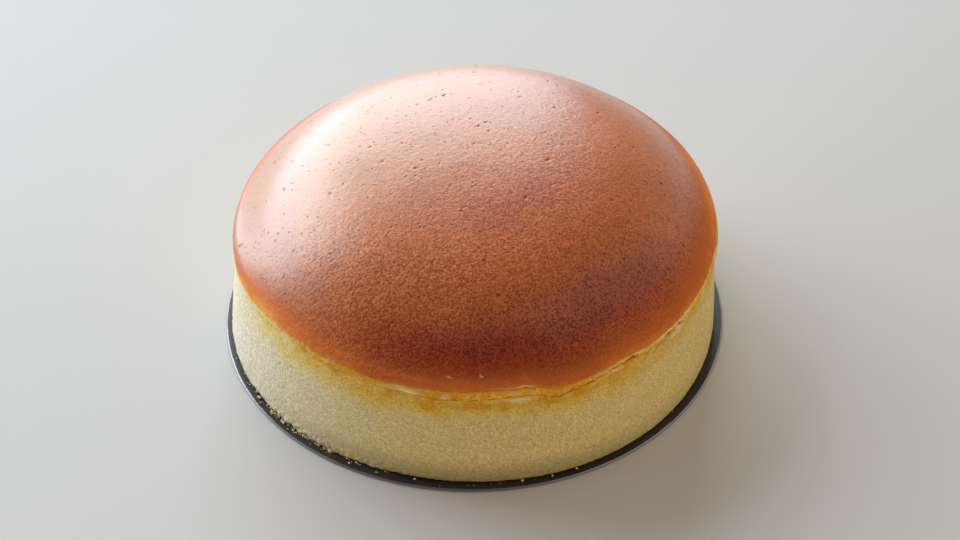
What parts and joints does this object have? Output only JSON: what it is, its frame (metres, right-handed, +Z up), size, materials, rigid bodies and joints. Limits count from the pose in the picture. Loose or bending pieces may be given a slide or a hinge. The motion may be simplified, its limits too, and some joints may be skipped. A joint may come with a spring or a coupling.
{
  "type": "cheesecake",
  "caption": "Tall round soufflé cheesecake, whole, with a smooth browned dome over pale sides, still on the thin flat base of its loose-bottomed tin.",
  "frame": {"origin": "middle of the underside of the tin base, where the part rests", "axes": "+Z up through the middle of the cake, -Y towards the front of the view, +X to its right"},
  "size_m": [0.198, 0.198, 0.0826],
  "materials": {
    "baked_cake": "satin brown baked skin on top, matt pale cream crumb on the side",
    "dark_tin": "satin dark non-stick coating"
  },
  "bodies": {
    "root": {"cake": "baked_cake", "tin_base": "dark_tin"}
  },
  "joints": []
}
